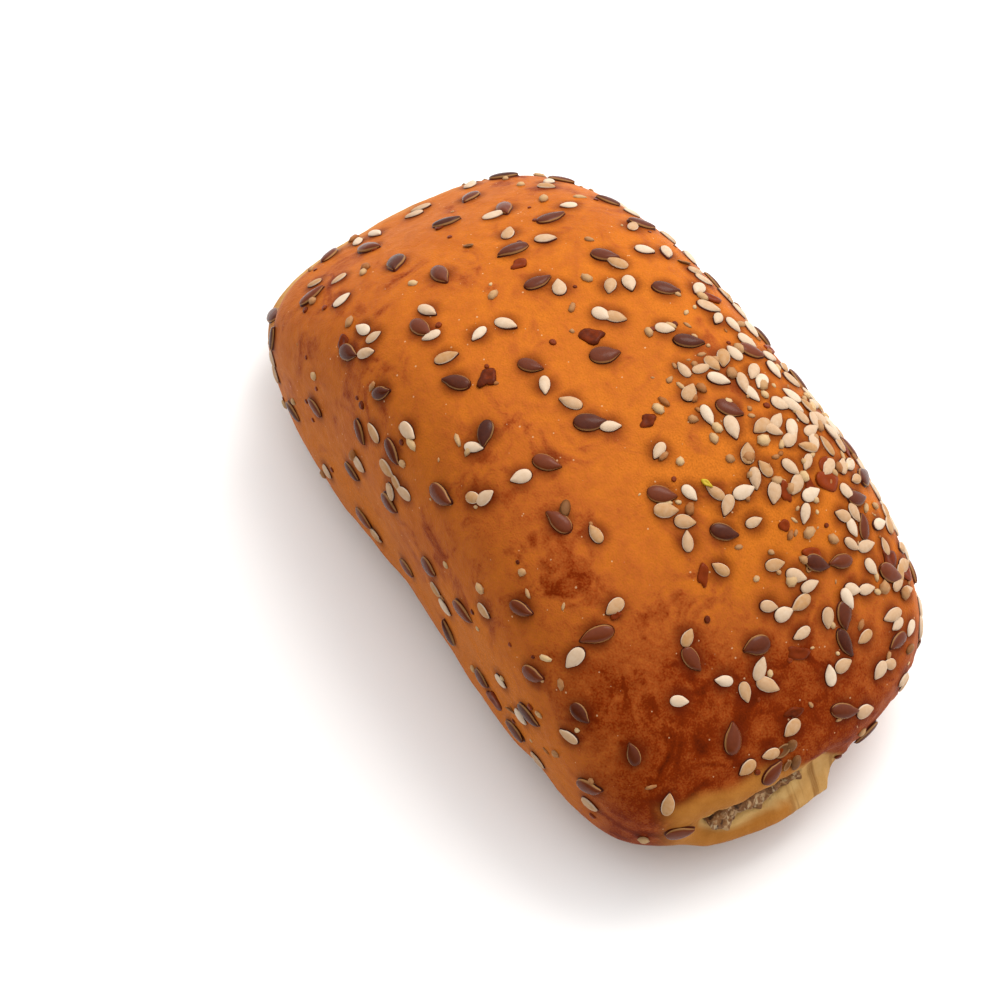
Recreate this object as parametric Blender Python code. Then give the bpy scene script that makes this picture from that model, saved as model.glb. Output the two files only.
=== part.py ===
"""A baked roll of leavened dough round a bar of potato and liver filling, strewn with flax and sesame.

The roll lies flat on its base with its long side along X and its top towards +Z, in metres. Both short ends
were cut through, so the filling shows in a mouth between the upper crust and a lower lip of dough: a narrow
slit at the +X end and a wide gape at the -X end.
"""

import math
import random
from dataclasses import dataclass

import bmesh
import bpy
from mathutils import Matrix, Vector, noise

# Driving sizes of the roll
ROLL_LENGTH = 0.107
ROLL_WIDTH = 0.0545
ROLL_HEIGHT = 0.0455

# Form of the dough, as shares of the sizes above
WAIST_LEVEL = 0.32
PLAN_SQUARENESS = 7.0
DOME_SQUARENESS = 3.8
BELLY_SQUARENESS = 3.0
ARCH_DROP = 0.77
ARCH_POWER = 2.35
WIDENING = 0.05
END_BULGE = 0.15
LONGER_SIDE = 0.03
CENTRING_X = 0.00185
CENTRING_Y = -0.0002
BASE_CUT = 1.10

# Uneven hand-made surface
SWELL_HEIGHT = 0.0008
SWELL_SIZE = 0.020
BASE_WAVE_HEIGHT = 0.0012
BASE_WAVE_SIZE = 0.009

# Ends: where the dough of an end starts to follow its mouth and lip, as shares of half the length
END_START = 0.55
END_FADE = 0.38

# Filling bar
FILLING_GAP = 0.0003
FILLING_SQUARENESS = 2.4
EDGE_WAVE_HEIGHT = 0.0016
EDGE_WAVE_SIZE = 0.006
MIDDLE_SHARE = 0.35
MOUTH_SHARE = 0.92
CRUMBLE_HEIGHT = 0.0012
CRUMBLE_SIZE = 0.0026
CHANNEL_OVERHANG = 0.014

# How seeds lie on the crust. The brush that glazed it laid most flax seeds one way, at BRUSH_HEADING in plan
SEED_SUNK_SHARE = 0.30
SEED_SIZE_SPREAD = 0.12
SEED_LOWEST = 0.009
MOUTH_CLEARANCE = 0.0040
BRUSH_HEADING = math.radians(42)
BRUSH_SPREAD = math.radians(20)
SCATTER_SEED = 41

# Mesh density
DOUGH_CUTS = (18, 11, 17)
FILLING_CUTS = (11, 13, 5)
SEED_SEGMENTS = 6
SEED_RINGS = 3

# Stepping over the dough by direction: the step, and the largest area that one square radian of it covers
SURFACE_STEP = 0.004
LARGEST_AREA = 0.0032


@dataclass
class Section:
    """A cut across the filling bar: its middle in Y and Z and its half sizes."""

    centre: float
    level: float
    half_width: float
    half_height: float


@dataclass
class End:
    """One cut end of the roll: its mouth is set back and a lip of dough reaches out below it.

    Rim, recess and lip fade out beyond low and high, in Y. Beyond high the lower dough tucks in instead.
    """

    side: int
    mouth: Section
    filling_reach: float
    recess_depth: float
    recess_spread: float
    rim_reach: float
    lip_reach: float
    lip_level: float
    lip_spread: float
    lip_centre: float
    lip_width: float
    tuck: float
    low: float
    high: float
    fade: float


@dataclass
class SeedKind:
    """A kind of seed: its size, how much narrower its tip is, and how many lie on the dough and how far apart.

    The aligned share of them lies along the brush's heading, and the rest any way.
    """

    name: str
    length: float
    width: float
    thickness: float
    taper: float
    count: int
    spacing: float
    aligned: float


FLAX = SeedKind(
    name="flax",
    length=0.0044,
    width=0.0023,
    thickness=0.0011,
    taper=0.45,
    count=86,
    spacing=0.0078,
    aligned=0.65,
)
SESAME = SeedKind(
    name="sesame",
    length=0.0028,
    width=0.00165,
    thickness=0.0009,
    taper=0.40,
    count=60,
    spacing=0.0027,
    aligned=0.15,
)
MIDDLE = Section(centre=0.0, level=0.0195, half_width=0.0185, half_height=0.0080)
SLIT_END = End(
    side=1,
    mouth=Section(centre=-0.0078, level=0.0125, half_width=0.0070, half_height=0.0018),
    filling_reach=0.0536,
    recess_depth=0.0020,
    recess_spread=0.0036,
    rim_reach=0.0,
    lip_reach=0.0026,
    lip_level=0.0068,
    lip_spread=0.0034,
    lip_centre=0.0020,
    lip_width=0.020,
    tuck=0.0024,
    low=-0.0145,
    high=0.0025,
    fade=0.0044,
)
GAPE_END = End(
    side=-1,
    mouth=Section(centre=0.0010, level=0.0180, half_width=0.0165, half_height=0.0036),
    filling_reach=0.0470,
    recess_depth=0.0052,
    recess_spread=0.0040,
    rim_reach=0.0010,
    lip_reach=0.0046,
    lip_level=0.0082,
    lip_spread=0.0062,
    lip_centre=0.0,
    lip_width=0.060,
    tuck=0.0,
    low=-0.0180,
    high=0.0180,
    fade=0.0080,
)
ENDS = (SLIT_END, GAPE_END)


def smooth_step(value):
    """0 up to 0, 1 from 1 on, and a smooth rise between."""
    t = min(max(value, 0.0), 1.0)
    return t * t * (3 - 2 * t)


def bell(value, centre, spread):
    """A smooth bump of height 1 at the centre."""
    return math.exp(-(((value - centre) / spread) ** 2))


def window(value, low, high, soft):
    """1 between low and high, falling to 0 over soft on either side."""
    return smooth_step((value - low) / soft + 1) * smooth_step((high - value) / soft + 1)


def unit_form(direction):
    """The point of a squarish form of half size 1 that a direction from its middle meets."""
    squareness = DOME_SQUARENESS if direction.z >= 0 else BELLY_SQUARENESS
    plan = (abs(direction.x) ** PLAN_SQUARENESS + abs(direction.y) ** PLAN_SQUARENESS) ** (1 / PLAN_SQUARENESS)
    reach = (plan ** squareness + abs(direction.z) ** squareness) ** (-1 / squareness)
    return direction * reach


def end_shift(end, share, y, z):
    """How far the dough of one end stands out along X: its lip and rim forward, its mouth and tuck back."""
    nearness = smooth_step((end.side * share - END_START) / END_FADE)
    if nearness == 0:
        return 0.0
    recess = end.recess_depth * bell(z, end.mouth.level, end.recess_spread)
    rim = end.rim_reach * bell(z, end.mouth.level + 2 * end.recess_spread, end.recess_spread)
    low_down = bell(z, end.lip_level, end.lip_spread)
    at_mouth = window(y, end.low, end.high, end.fade)
    beside = smooth_step((y - end.high) / end.fade)
    lip = end.lip_reach * low_down * bell(y, end.lip_centre, end.lip_width)
    shift = at_mouth * (lip + rim - recess) - beside * end.tuck * low_down
    return end.side * nearness * shift


def dough_point(direction):
    """The dough's outer surface in a direction from the roll's middle."""
    unit = unit_form(direction)
    waist = WAIST_LEVEL * ROLL_HEIGHT
    x = unit.x * ROLL_LENGTH / 2 * (1 - END_BULGE * unit.y ** 2) * (1 - LONGER_SIDE * unit.y)
    y = unit.y * ROLL_WIDTH / 2 * (1 + WIDENING * unit.x)
    if unit.z >= 0:
        z = waist + (ROLL_HEIGHT - waist) * (1 - ARCH_DROP * abs(unit.x) ** ARCH_POWER) * unit.z
    else:
        z = waist + waist * BASE_CUT * unit.z
    x += sum(end_shift(end, unit.x, y, z) for end in ENDS)
    point = Vector((x + CENTRING_X, y + CENTRING_Y, z))
    outward = unit.normalized()
    swell = SWELL_HEIGHT * noise.noise(point / SWELL_SIZE)
    base_wave = BASE_WAVE_HEIGHT * noise.noise(point / BASE_WAVE_SIZE) * (1 - smooth_step(z / waist))
    point += outward * swell + Vector((outward.x, outward.y, 0)) * base_wave
    point.z = max(point.z, 0.0)
    return point


def filling_section(x):
    """The filling bar's section at x, from full in the middle to the size of each end's mouth."""
    end = SLIT_END if x > 0 else GAPE_END
    share = smooth_step((abs(x) / (ROLL_LENGTH / 2) - MIDDLE_SHARE) / (MOUTH_SHARE - MIDDLE_SHARE))

    def between(middle, mouth):
        return middle + (mouth - middle) * share

    return Section(
        centre=between(MIDDLE.centre, end.mouth.centre),
        level=between(MIDDLE.level, end.mouth.level),
        half_width=between(MIDDLE.half_width, end.mouth.half_width),
        half_height=between(MIDDLE.half_height, end.mouth.half_height),
    )


def gridded_cube(cuts):
    """A cube from -1 to 1 whose edges along X, Y and Z are cut into even grids."""
    shape = bmesh.new()
    bmesh.ops.create_cube(shape, size=2)
    for axis, count in enumerate(cuts):
        along = [e for e in shape.edges if abs((e.verts[0].co - e.verts[1].co)[axis]) > 1]
        bmesh.ops.subdivide_edges(shape, edges=along, cuts=count, use_grid_fill=True)
    return shape


def add_object(name, shape, collection, material=None):
    """Makes an object from a bmesh, in flat triangles so that the Booleans cut cleanly, and frees the bmesh."""
    bmesh.ops.triangulate(shape, faces=shape.faces)
    bmesh.ops.recalc_face_normals(shape, faces=shape.faces)
    mesh = bpy.data.meshes.new(name)
    shape.to_mesh(mesh)
    shape.free()
    mesh.shade_smooth()
    if material:
        mesh.materials.append(material)
    obj = bpy.data.objects.new(name, mesh)
    collection.objects.link(obj)
    return obj


def crowd_to_edge(value):
    """Moves evenly spaced grid lines closer together towards -1 and 1."""
    return (value + math.sin(value * math.pi / 2)) / 2


def make_dough(collection, material):
    """A gridded cube drawn out to the roll's form."""
    shape = gridded_cube(DOUGH_CUTS)
    for vertex in shape.verts:
        direction = Vector((crowd_to_edge(vertex.co.x), vertex.co.y, vertex.co.z))
        vertex.co = dough_point(direction.normalized())
    return add_object("dough", shape, collection, material)


def round_section(across, up, section, gap):
    """Where a point of a square from -1 to 1 lies in the filling's rounded section, with its uneven edge."""
    ring = max(abs(across), abs(up))
    corner = (abs(across) ** FILLING_SQUARENESS + abs(up) ** FILLING_SQUARENESS) ** (1 / FILLING_SQUARENESS)
    fold = ring / corner if corner > 0 else 0
    y = section.centre + across * fold * section.half_width
    z = section.level + up * fold * section.half_height
    wave = EDGE_WAVE_HEIGHT * noise.noise(Vector((0, y, z)) / EDGE_WAVE_SIZE)
    return y + across * fold * gap, z + up * fold * gap + wave


def make_filling(collection, material):
    """A gridded cube drawn out to the filling bar, with crumbly ends."""
    shape = gridded_cube(FILLING_CUTS)
    for vertex in shape.verts:
        along, across, up = vertex.co
        end = SLIT_END if along > 0 else GAPE_END
        x = along * end.filling_reach
        y, z = round_section(across, up, filling_section(x), gap=0)
        if abs(along) > 0.999:
            x += end.side * CRUMBLE_HEIGHT * noise.noise(Vector((x, y, z)) / CRUMBLE_SIZE)
        vertex.co = (x, y, z)
    return add_object("filling", shape, collection, material)


def make_channel(collection):
    """The filling bar grown by the gap, with one more stretch at each end that runs out of the dough."""
    stations, across_cuts, up_cuts = FILLING_CUTS
    shape = gridded_cube((stations + 2, across_cuts, up_cuts))
    for vertex in shape.verts:
        along, across, up = vertex.co
        end = SLIT_END if along > 0 else GAPE_END
        station = along * (stations + 3) / (stations + 1)
        within = min(max(station, -1.0), 1.0)
        x = within * end.filling_reach
        y, z = round_section(across, up, filling_section(x), gap=FILLING_GAP)
        if abs(station) > 1.001:
            x += end.side * CHANNEL_OVERHANG
        vertex.co = (x, y, z)
    return add_object("channel_cutter", shape, collection)


def surface_frame(direction):
    """Point, outward normal and relative area of the dough's surface in a direction."""
    step = SURFACE_STEP
    side = direction.orthogonal().normalized()
    other = direction.cross(side)
    point = dough_point(direction)
    first = (dough_point((direction + side * step).normalized()) - point) / step
    second = (dough_point((direction + other * step).normalized()) - point) / step
    normal = first.cross(second)
    area = normal.length
    return point, normal.normalized(), area


def on_cut_face(point):
    """Whether a point lies on an end where the filling comes out, or on the lip below it."""
    for end in ENDS:
        mouth = end.mouth
        beside = abs(point.y - mouth.centre) < mouth.half_width + MOUTH_CLEARANCE
        below_rim = point.z < mouth.level + mouth.half_height + MOUTH_CLEARANCE
        if end.side * point.x > 0.8 * ROLL_LENGTH / 2 and beside and below_rim:
            return True
    return False


def flax_density(point):
    """Flax lies evenly on the glazed crust."""
    return smooth_step((point.z - SEED_LOWEST) / 0.004)


def sesame_density(point):
    """Sesame is thin everywhere and thick on the +Y shoulder, from mid-length to the slit end."""
    band = window(point.x, 0.008, 0.044, 0.016) * window(point.y, 0.012, 0.040, 0.009)
    return flax_density(point) * (0.075 + 0.925 * band)


def scatter(draw, kind, density, taken):
    """Places seeds one by one on the dough, by density, apart from each other and from those in taken."""
    placed = []
    while len(placed) < kind.count:
        direction = Vector([draw.gauss(0, 1) for _ in range(3)]).normalized()
        chance = draw.random()
        size = 1 + draw.uniform(-SEED_SIZE_SPREAD, SEED_SIZE_SPREAD)
        heading = draw.uniform(0, 2 * math.pi)
        if draw.random() < kind.aligned:
            heading = draw.gauss(BRUSH_HEADING, BRUSH_SPREAD)
        point, normal, area = surface_frame(direction)
        if chance > density(point) * area / LARGEST_AREA or on_cut_face(point):
            continue
        if any((point - other).length < kind.spacing for other in taken):
            continue
        taken.append(point)
        placed.append((point, normal, heading, size))
    return placed


def lying_axes(normal, heading):
    """Axes of a thing lying on the dough: X at the heading in plan, and Z along the normal."""
    level = Vector((math.cos(heading), math.sin(heading), 0))
    along = (level - normal * level.dot(normal)).normalized()
    return Matrix((along, normal.cross(along), normal)).transposed().to_4x4()


def make_seed(kind, place, collection, material):
    """A small teardrop lying on the dough, partly sunk into it."""
    point, normal, heading, scale = place
    shape = bmesh.new()
    bmesh.ops.create_uvsphere(shape, u_segments=SEED_SEGMENTS, v_segments=SEED_RINGS, radius=0.5)
    for vertex in shape.verts:
        x, y, z = vertex.co
        narrowing = 1 - kind.taper * x
        vertex.co = Vector((x * kind.length, y * kind.width * narrowing, z * kind.thickness)) * scale
    middle = point + normal * kind.thickness * scale * (0.5 - SEED_SUNK_SHARE)
    shape.transform(Matrix.Translation(middle) @ lying_axes(normal, heading))
    return add_object(kind.name, shape, collection, material)


def apply_modifiers(obj):
    """Replaces an object's mesh with what its modifiers make of it."""
    depsgraph = bpy.context.evaluated_depsgraph_get()
    mesh = bpy.data.meshes.new_from_object(obj.evaluated_get(depsgraph), depsgraph=depsgraph)
    obj.modifiers.clear()
    obj.data = mesh
    mesh.shade_smooth()
    mesh.set_sharp_from_angle(angle=math.radians(35))


def drop_scraps(obj):
    """Keeps only the largest connected body of a mesh."""
    shape = bmesh.new()
    shape.from_mesh(obj.data)
    unseen = set(shape.verts)
    bodies = []
    while unseen:
        body = {unseen.pop()}
        border = list(body)
        while border:
            vertex = border.pop()
            for edge in vertex.link_edges:
                other = edge.other_vert(vertex)
                if other in unseen:
                    unseen.remove(other)
                    body.add(other)
                    border.append(other)
        bodies.append(body)
    largest = max(bodies, key=len)
    bmesh.ops.delete(shape, geom=[v for v in shape.verts if v not in largest], context="VERTS")
    shape.to_mesh(obj.data)
    shape.free()


def make_material(name, colour, roughness):
    material = bpy.data.materials.new(name)
    material.use_nodes = True
    shader = material.node_tree.nodes["Principled BSDF"]
    shader.inputs["Base Color"].default_value = (*colour, 1)
    shader.inputs["Roughness"].default_value = roughness
    shader.inputs["Metallic"].default_value = 0.0
    return material


def add_collection(name):
    collection = bpy.data.collections.new(name)
    bpy.context.scene.collection.children.link(collection)
    return collection


def remove_collection(collection):
    for obj in list(collection.objects):
        bpy.data.objects.remove(obj)
    bpy.data.collections.remove(collection)


def main():
    for obj in list(bpy.data.objects):
        bpy.data.objects.remove(obj)
    roll = add_collection("potato_liver_roll")
    cutters = add_collection("cutters")
    seeds = add_collection("seeds")
    crust = make_material("baked_crust", (0.55, 0.20, 0.04), 0.42)
    mash = make_material("potato_liver_mash", (0.25, 0.16, 0.08), 0.85)

    dough = make_dough(roll, crust)
    make_filling(roll, mash)
    channel = make_channel(cutters)
    channel.hide_render = True
    channel.display_type = "WIRE"
    hollow = dough.modifiers.new("channel", "BOOLEAN")
    hollow.operation = "DIFFERENCE"
    hollow.object = channel

    draw = random.Random(SCATTER_SEED)
    taken = []
    for kind, density in ((FLAX, flax_density), (SESAME, sesame_density)):
        for place in scatter(draw, kind, density, taken):
            make_seed(kind, place, seeds, crust)
    fuse = dough.modifiers.new("seeds", "BOOLEAN")
    fuse.operation = "UNION"
    fuse.operand_type = "COLLECTION"
    fuse.collection = seeds

    apply_modifiers(dough)
    remove_collection(seeds)
    drop_scraps(dough)


main()
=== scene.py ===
"""Looks of a baked roll round potato and liver filling: glazed crust, torn ends, mash, seeds and light."""

import math
import random
from dataclasses import dataclass, replace

import bmesh
import bpy
from mathutils import Matrix, Vector, kdtree, noise


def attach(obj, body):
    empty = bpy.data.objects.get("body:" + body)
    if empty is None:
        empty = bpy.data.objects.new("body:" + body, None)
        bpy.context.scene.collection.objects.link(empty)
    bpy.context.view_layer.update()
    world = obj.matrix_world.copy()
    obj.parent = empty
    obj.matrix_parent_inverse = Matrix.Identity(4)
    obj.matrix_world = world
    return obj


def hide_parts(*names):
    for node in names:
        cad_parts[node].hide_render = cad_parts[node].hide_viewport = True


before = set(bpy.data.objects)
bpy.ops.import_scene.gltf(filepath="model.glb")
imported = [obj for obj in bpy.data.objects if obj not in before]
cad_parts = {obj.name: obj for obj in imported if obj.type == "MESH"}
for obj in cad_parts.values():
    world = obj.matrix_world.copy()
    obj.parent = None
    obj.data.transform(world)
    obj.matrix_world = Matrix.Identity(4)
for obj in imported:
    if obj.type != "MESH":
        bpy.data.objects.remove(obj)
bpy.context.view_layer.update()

# Sizes are in metres. Three values in brackets are for window, and the two of an EDGE are for rise

# Driving sizes of the roll, as in the solids
ROLL_LENGTH = 0.107
ROLL_WIDTH = 0.0545
ROLL_HEIGHT = 0.0455
WAIST_LEVEL = 0.32
PLAN_SQUARENESS = 7.0
DOME_SQUARENESS = 3.8
BELLY_SQUARENESS = 3.0
ARCH_DROP = 0.77
ARCH_POWER = 2.35
WIDENING = 0.05
END_BULGE = 0.15
LONGER_SIDE = 0.03
CENTRING_X = 0.00185
CENTRING_Y = -0.0002
BASE_CUT = 1.10
SWELL_HEIGHT = 0.0008
SWELL_SIZE = 0.020
BASE_WAVE_HEIGHT = 0.0012
BASE_WAVE_SIZE = 0.009
END_START = 0.55
END_FADE = 0.38

# Filling bar, as in the solids
FILLING_SQUARENESS = 2.4
EDGE_WAVE_HEIGHT = 0.0016
EDGE_WAVE_SIZE = 0.006
MIDDLE_SHARE = 0.35
MOUTH_SHARE = 0.92
CHANNEL_OVERHANG = 0.014

# How seeds lie on the crust, as in the solids
SEED_SUNK_SHARE = 0.30
SEED_SIZE_SPREAD = 0.12
SEED_LOWEST = 0.009
SEED_FADE = 0.004
SESAME_ALONG = (0.008, 0.044, 0.016)
SESAME_ACROSS = (0.012, 0.040, 0.009)
SESAME_ELSEWHERE = 0.075
MOUTH_CLEARANCE = 0.0040
CUT_FACE_START = 0.8
BRUSH_HEADING = math.radians(42)
BRUSH_SPREAD = math.radians(20)
SCATTER_SEED = 41
SURFACE_STEP = 0.004
LARGEST_AREA = 0.0032

# Mesh density: the crust's grid is about half a millimetre wide
DOUGH_CUTS = (180, 106, 72)
CHANNEL_CUTS = (60, 60, 24)
FILLING_CUTS = (120, 90, 40)
GRID_SLACK = 0.001

# Fine relief of the crust
DIMPLE_HEIGHT = 0.00012
DIMPLE_SIZE = 0.0045
WRINKLE_HEIGHT = 0.00004
WRINKLE_SIZE = 0.0012

# Dough torn round the mouths, pulled beside the slit and ragged beyond that
FACE_START = 0.70
FACE_FADE = 0.18
TEAR_HEIGHT = 0.00040
TEAR_SIZE = 0.0013
TEAR_WIDTH = 0.0022
PULL_ACROSS = (-0.0020, 0.0050, 0.0020)
PULL_LOW = 0.0080
PULL_HIGH = 0.0150
PULL_SLOPE = 0.7
PULL_FADE = 0.0018
PULL_HEIGHT = 0.00022
PULL_WIDTH = 0.0007
PULL_LENGTH = 0.0060
RAGGED_ACROSS = (0.006, 0.024, 0.003)
RAGGED_LEVEL = 0.0115
RAGGED_SPREAD = 0.003
RAGGED_HEIGHT = 0.0004
RAGGED_SIZE = 0.0016
RIM_ROUNDING = 0.0006
RIM_WELD = RIM_ROUNDING / 8
RIM_SMOOTHINGS = 4

# Broken ends of the filling
CRUMBLE_START = 0.985
CRUMBLE_FADE = 0.015
CRUMBLE_HEIGHT = 0.0012
CRUMBLE_SIZE = 0.0026
CRUMB_HEIGHT = 0.0006
CRUMB_SIZE = 0.0009

# Shape of the seeds, and of the glaze that crept up round them
SEED_GRID = (18, 12)
TIP_START = 0.1
TIP_NARROWING = 0.35
BEAK_START = 0.25
BEAK_BEND = 0.10
SEED_FULLNESS = 0.9
SEED_EDGE_SHARE = 0.06
SEED_EDGE_BREADTH = 0.50
LENS_SHARPNESS = 1.15
GLAZE_SIDES = 24
GLAZE_REACH = 0.00014
GLAZE_MIDWAY = 0.45
GLAZE_FILM = 0.00002
GLAZE_SUNK = 0.00012
GLAZE_OVERLAP = 0.00006
GLAZE_CLIMB = 0.00010

# Where the sesame lies thickest: its middle and its reach in X and Y
HEART_MIDDLE = (0.025, 0.018)
HEART_REACH = (0.020, 0.012)
HEART_ELSEWHERE = 0.06

# How seeds pile up there, and how much each one's length, width and thickness may vary
PILE_REACH = 0.0022
PILE_LIFT = 0.0006
PILE_TILT = math.radians(16)
LEAST_TILT = 0.15
SEED_GIRTHS = ((0.86, 1.06), (0.84, 1.10), (0.8, 1.1))

# Blisters, flakes and chips. Two values are the least and the most
DRESSING_SEED = 7
BIT_SPACING = 0.0008
BLISTER_COUNT = 60
BLISTER_RADII = (0.0003, 0.0006)
BLISTER_HEIGHT = 0.7
BLISTER_BREADTH = 0.85
BLISTER_DIP = 0.45
BLISTER_SIDES = 14
BLISTER_ROOT = 0.0002
BLISTER_SUNK = 0.00002
FLAKE_COUNT = 24
FLAKE_RADII = (0.0007, 0.0018)
FLAKE_BREADTHS = (0.4, 0.9)
FLAKE_BENDS = (0.04, 0.14)
FLAKE_LIFT = 0.00012
FLAKE_TOP = 0.00016
FLAKE_SIDES = 18
FLAKE_ROOT = 0.0003
FLAKE_SUNK = 0.00004
CHIP_COUNT = 270
CHIP_LENGTHS = (0.00025, 0.0011)
CHIP_BREADTHS = (0.4, 0.9)
CHIP_BENDS = (0.75, 1.1)
CHIP_TOP = 0.85
CHIP_SIDES = 7
CHIP_ROOT = 0.0001
CHIP_SUNK = 0.00005

# Empty husks, some among the sesame and a few above the slit
HUSK_COUNT = 10
HUSK_SPACING = 0.0012
HUSK_LENGTHS = (0.0008, 0.0013)
HUSK_BREADTHS = (0.45, 0.65)
HUSK_DEPTH = 0.6
HUSK_FLOOR = 0.42
HUSK_SIDES = 16
HUSK_LIFTS = (0.0001, 0.0004)
HUSK_TILT = 0.45
UPSIDE_DOWN_SHARE = 0.6
SLIT_HUSKS = Vector((0.0515, -0.0030, 0.0178))
SLIT_HUSK_COUNT = 4
SLIT_HUSK_SPREAD = 0.0016

# The yellow fleck
FLECK_PLACE = Vector((0.0254, 0.0032, 0.0422))
FLECK_REACH = 0.0010
FLECK_LIFT = 0.0004
FLECK_HEADING = 0.4

# How a place is brought down to the dough: the number of steps and how strongly each one turns
NEARING_STEPS = 40
NEARING_PULL = 12

# Browning of the crust, from 0, golden, to 1, dark brown, with a patch of painted sheen and painted shade on
# the -Y shoulder
EVEN_BROWN = 0.17
PATCH_BROWN = 0.13
PATCH_SIZE = 0.014
END_BROWN = 0.54
END_BROWN_SLANT = 0.2
END_BROWN_EDGE = (0.029, 0.020)
FACE_BROWN_SHARE = 0.88
FACE_BROWN_EDGE = (0.036, 0.014)
FAR_FACE_LIGHTER = 0.35
FAR_FACE_EDGE = (0.004, 0.014)
# The -Y shoulder: darker from browning and from painted shade on the side away from the light
SHOULDER_MIDDLE = -0.018
SHOULDER_WIDTH = 0.011
SHOULDER_EDGE = (0.028, 0.020)
SHOULDER_BROWN_AND_SHADE = 0.07
SHOULDER_SPOT = 0.022
SHOULDER_SPOT_WIDTH = 0.012
SHOULDER_SPOT_BROWN_AND_SHADE = 0.22
# A patch of painted sheen on the glaze near the slit end
PAINTED_SHEEN_MIDDLE = (0.031, 0.005)
PAINTED_SHEEN_REACH = (0.013, 0.011)
PAINTED_SHEEN_LIGHTER = 0.25
WALL_ALONG = (0.018, 0.038, 0.010)
WALL_SIDE_EDGE = (-0.0265, 0.006)
WALL_TOP_EDGE = (0.023, 0.010)
WALL_LIGHTER = 0.36
SESAME_LIGHTER = 0.08
LOW_SIDE_EDGE = (0.011, 0.015)
LOW_SIDE_LIGHTER = 0.34

# Golden and cream dough low down and round the mouths, and browned juice round the seeds with painted shade
# round each seed
PAINTED = ("browned_sheen_shade", "stain_and_shade", "golden", "crumb", "pulled")
GOLD_EDGE = (0.0030, 0.0060)
RIM_PALE = 0.0008
RIM_FADE = 0.0016
RIM_SIDE_FADE = 0.004
RIM_WAVE_HEIGHT = 0.0012
RIM_WAVE_SIZE = 0.005
SLIT_RIM_PALE = 0.0046
SLIT_RIM_NARROWED = 0.0012
SLIT_RIM_NARROWING = (-0.016, 0.010)
SLIT_RIM_DROP = 0.0075
SLIT_RIM_DROPPING = (-0.003, 0.009)
CREAM_AT_SLIT = 0.0014
CREAM_AT_GAPE = 0.0065
PULLED_CRUMB = 0.7
STAIN_AND_SHADE_REACH = 0.0021
STAIN_AND_SHADE_START = 0.4

# A colour mix: input 0 is the share, 6 and 7 are the colours
COLOUR_MIX = {"output": 2, "data_type": "RGBA"}

# Floor and light: a bright side of a white room, and a softbox above and behind the roll
FLOOR_HALF_SIZE = 3.0
BRIGHT_SIDE = Vector((-0.25, 0.55, 0.80)).normalized()
ROOM_EDGE = -0.35
ROOM_BRIGHTEST = 2.15
KEY_PLACE = Vector((-0.12, 0.48, 0.85))
KEY_SIZE = 0.5
KEY_POWER = 4.5

# Camera: its view's angles in degrees, its lens and sensor in millimetres, and how far it is turned away
ROLL_MIDDLE = Vector((0, 0, 0.019))
CAMERA_AZIMUTH = 56
CAMERA_ELEVATION = 56
CAMERA_DISTANCE = 0.42
CAMERA_NEAREST = 0.01
LENS = 110.8
SENSOR = 36
TURNED_LEFT = math.radians(1.37)
TURNED_DOWN = math.radians(0.76)


@dataclass
class Section:
    """A cut across the filling bar: its middle in Y and Z and its half sizes."""

    centre: float
    level: float
    half_width: float
    half_height: float


@dataclass
class End:
    """One cut end of the roll: its mouth is set back and a lip of dough reaches out below it.

    Rim, recess and lip fade out beyond low and high, in Y. Beyond high the lower dough tucks in instead.
    """

    side: int
    mouth: Section
    filling_reach: float
    recess_depth: float
    recess_spread: float
    rim_reach: float
    lip_reach: float
    lip_level: float
    lip_spread: float
    lip_centre: float
    lip_width: float
    tuck: float
    low: float
    high: float
    fade: float


@dataclass
class SeedKind:
    """A kind of seed: its size, its taper to the tip, and how many lie on the dough and how far apart.

    The aligned share of them lies along the brush's heading, and the rest any way.
    """

    name: str
    length: float
    width: float
    thickness: float
    taper: float
    count: int
    spacing: float
    aligned: float


MIDDLE = Section(centre=0.0, level=0.0195, half_width=0.0185, half_height=0.0080)
SLIT_END = End(
    side=1,
    mouth=Section(centre=-0.0078, level=0.0125, half_width=0.0070, half_height=0.0018),
    filling_reach=0.0536,
    recess_depth=0.0020,
    recess_spread=0.0036,
    rim_reach=0.0,
    lip_reach=0.0026,
    lip_level=0.0068,
    lip_spread=0.0034,
    lip_centre=0.0020,
    lip_width=0.020,
    tuck=0.0024,
    low=-0.0145,
    high=0.0025,
    fade=0.0044,
)
GAPE_END = End(
    side=-1,
    mouth=Section(centre=0.0010, level=0.0180, half_width=0.0165, half_height=0.0036),
    filling_reach=0.0470,
    recess_depth=0.0052,
    recess_spread=0.0040,
    rim_reach=0.0010,
    lip_reach=0.0046,
    lip_level=0.0082,
    lip_spread=0.0062,
    lip_centre=0.0,
    lip_width=0.060,
    tuck=0.0,
    low=-0.0180,
    high=0.0180,
    fade=0.0080,
)
ENDS = (SLIT_END, GAPE_END)
FLAX = SeedKind(
    name="flax",
    length=0.0041,
    width=0.0021,
    thickness=0.0010,
    taper=0.45,
    count=86,
    spacing=0.0078,
    aligned=0.65,
)
SESAME = SeedKind(
    name="sesame",
    length=0.0030,
    width=0.00158,
    thickness=0.0008,
    taper=0.40,
    count=60,
    spacing=0.0027,
    aligned=0.15,
)
EXTRA_FLAX = replace(FLAX, count=8, spacing=0.0024, aligned=0.2)
EXTRA_SESAME = replace(SESAME, count=215, spacing=0.0015)


def smooth_step(value):
    """0 up to 0, 1 from 1 on, and a smooth rise between."""
    t = min(max(value, 0.0), 1.0)
    return t * t * (3 - 2 * t)


def bell(value, centre, spread):
    """A smooth bump of height 1 at the centre."""
    return math.exp(-(((value - centre) / spread) ** 2))


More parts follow.
